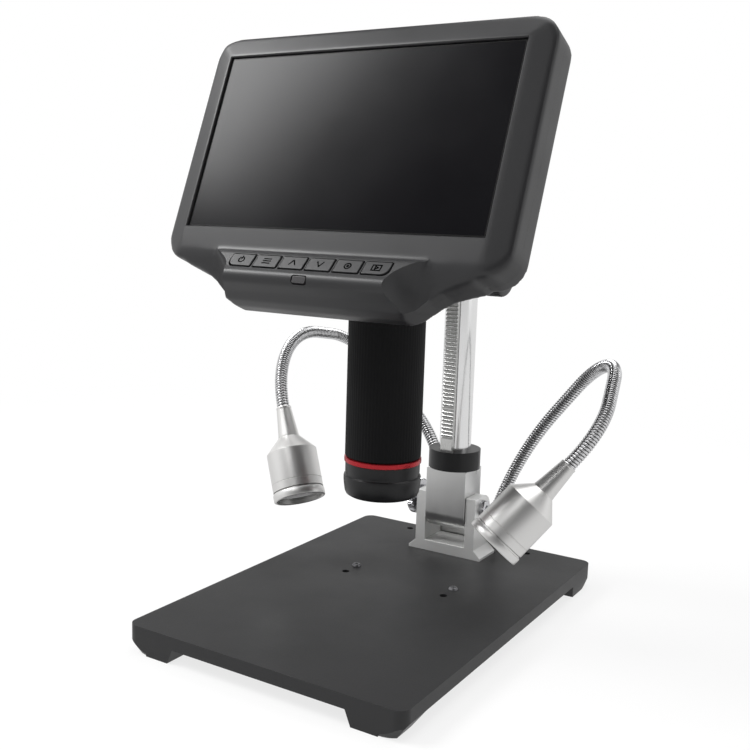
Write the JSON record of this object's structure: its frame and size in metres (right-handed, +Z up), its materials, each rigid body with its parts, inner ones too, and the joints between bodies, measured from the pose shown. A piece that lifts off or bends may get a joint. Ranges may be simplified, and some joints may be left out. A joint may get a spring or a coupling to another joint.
{
  "type": "lcd digital microscope",
  "caption": "Inspection microscope with a tilted screen, vertical lens barrel, rack column on a tilting bracket, flat base plate and two gooseneck lamps.",
  "frame": {"origin": "on the desk, under the middle of the base plate", "axes": "+X to the right seen from the front, +Y to the back, +Z up; the screen faces -Y and leans back"},
  "size_m": [0.2058, 0.2323, 0.2899],
  "materials": {
    "plate_paint": "fine satin black paint",
    "aluminium": "satin anodised, brushed on the lamps",
    "steel": "bright",
    "black_metal": "black anodised",
    "neck_chrome": "spiral wound, bright",
    "charcoal_plastic": "fine matte texture",
    "black_plastic": "satin",
    "ribbed_rubber": "fine ribs",
    "red_metal": "red anodised",
    "screen_glass": "dark glossy",
    "lens_glass": "clear",
    "board_green": "solder mask",
    "ir_plastic": "dark red, nearly black",
    "led_yellow": "phosphor"
  },
  "bodies": {
    "base": {"base_plate": "plate_paint", "stage_screw_l": "steel", "stage_screw_r": "steel", "bracket": "aluminium", "bracket_screw_l": "steel", "bracket_screw_r": "steel", "tilt_bolt": "steel", "tilt_nut": "steel", "neck_mount": "aluminium", "lamp_jack": "black_plastic", "neck_ferrule_l": "neck_chrome", "neck_ferrule_r": "neck_chrome", "neck_lower_l": "neck_chrome", "neck_lower_r": "neck_chrome"},
    "column": {"tilt_block": "aluminium", "column_rod": "aluminium", "gear_rack": "aluminium", "collar_ring": "black_metal", "collar_screw": "steel", "column_cap": "black_plastic"},
    "head": {"carriage": "charcoal_plastic", "camera_housing": "charcoal_plastic", "barrel_tube": "black_metal", "lens_group": "lens_glass", "sensor_board": "board_green", "red_ring": "red_metal", "nose_cap": "black_metal", "front_bezel": "charcoal_plastic", "lcd_panel": "screen_glass", "panel_frame": "steel", "main_board": "board_green", "button_board": "board_green", "ir_window": "ir_plastic", "rear_cover": "charcoal_plastic", "hdmi_port": "steel", "usb_port": "steel"},
    "focus_ring": {"focus_ring": "ribbed_rubber"},
    "focus_shaft": {"pinion_shaft": "steel", "knob_l": "black_plastic", "knob_r": "black_plastic"},
    "lock_screw": {"lock_screw": "black_plastic"},
    "neck_mid_l": {"neck_mid_l": "neck_chrome"},
    "neck_mid_r": {"neck_mid_r": "neck_chrome"},
    "lamp_l": {"neck_upper_l": "neck_chrome", "lamp_head_l": "aluminium", "lamp_bezel_l": "aluminium", "lamp_lens_l": "lens_glass", "lamp_led_l": "led_yellow"},
    "lamp_r": {"neck_upper_r": "neck_chrome", "lamp_head_r": "aluminium", "lamp_bezel_r": "aluminium", "lamp_lens_r": "lens_glass", "lamp_led_r": "led_yellow"},
    "button_1": {"button_1": "black_plastic"},
    "button_2": {"button_2": "black_plastic"},
    "button_3": {"button_3": "black_plastic"},
    "button_4": {"button_4": "black_plastic"},
    "button_5": {"button_5": "black_plastic"},
    "button_6": {"button_6": "black_plastic"}
  },
  "joints": [
    {"name": "column_tilt", "type": "hinge", "parent": "base", "child": "column", "pos_m": [0, 0.077, 0.0425], "axis": [1, 0, 0], "range_deg": [-12, 20]},
    {"name": "height_slide", "type": "slide", "parent": "column", "child": "head", "axis": [0, 0, 1], "range_m": [-0.04, 0.045]},
    {"name": "focus_knob", "type": "hinge", "parent": "head", "child": "focus_shaft", "pos_m": [0, 0.06095, 0.178], "axis": [1, 0, 0], "range_deg": [-540, 540]},
    {"name": "lens_focus", "type": "hinge", "parent": "head", "child": "focus_ring", "pos_m": [0, -0.004, 0.12], "axis": [0, 0, 1], "range_deg": [-135, 135]},
    {"name": "lock_turn", "type": "hinge", "parent": "head", "child": "lock_screw", "pos_m": [0, 0.095, 0.198], "axis": [0, 1, 0], "range_deg": [-180, 180]},
    {"name": "press_1", "type": "slide", "parent": "head", "child": "button_1", "axis": [0, 0.682, -0.7314], "range_m": [0, 0.0006], "stiffness_N_per_m": 500, "springref_m": -0.0005},
    {"name": "press_2", "type": "slide", "parent": "head", "child": "button_2", "axis": [0, 0.682, -0.7314], "range_m": [0, 0.0006], "stiffness_N_per_m": 500, "springref_m": -0.0005},
    {"name": "press_3", "type": "slide", "parent": "head", "child": "button_3", "axis": [0, 0.682, -0.7314], "range_m": [0, 0.0006], "stiffness_N_per_m": 500, "springref_m": -0.0005},
    {"name": "press_4", "type": "slide", "parent": "head", "child": "button_4", "axis": [0, 0.682, -0.7314], "range_m": [0, 0.0006], "stiffness_N_per_m": 500, "springref_m": -0.0005},
    {"name": "press_5", "type": "slide", "parent": "head", "child": "button_5", "axis": [0, 0.682, -0.7314], "range_m": [0, 0.0006], "stiffness_N_per_m": 500, "springref_m": -0.0005},
    {"name": "press_6", "type": "slide", "parent": "head", "child": "button_6", "axis": [0, 0.682, -0.7314], "range_m": [0, 0.0006], "stiffness_N_per_m": 500, "springref_m": -0.0005},
    {"name": "neck_low_l", "type": "hinge", "parent": "base", "child": "neck_mid_l", "pos_m": [-0.05898, 0.11407, 0.09562], "axis": [-0.3502, -0.9367, 0], "range_deg": [-18, 18]},
    {"name": "neck_high_l", "type": "hinge", "parent": "neck_mid_l", "child": "lamp_l", "pos_m": [-0.10151, 0.09082, 0.13107], "axis": [0.6015, 0.1068, 0.7917], "range_deg": [-18, 18]},
    {"name": "neck_low_r", "type": "hinge", "parent": "base", "child": "neck_mid_r", "pos_m": [0.05463, 0.105, 0.10522], "axis": [0.2953, 0.9261, -0.2347], "range_deg": [-18, 18]},
    {"name": "neck_high_r", "type": "hinge", "parent": "neck_mid_r", "child": "lamp_r", "pos_m": [0.09417, 0.0623, 0.12052], "axis": [0.7034, 0.4562, -0.545], "range_deg": [-18, 18]}
  ],
  "couplings": [
    {"joint": "focus_knob", "follows": "height_slide", "rad_per_m": -204}
  ]
}
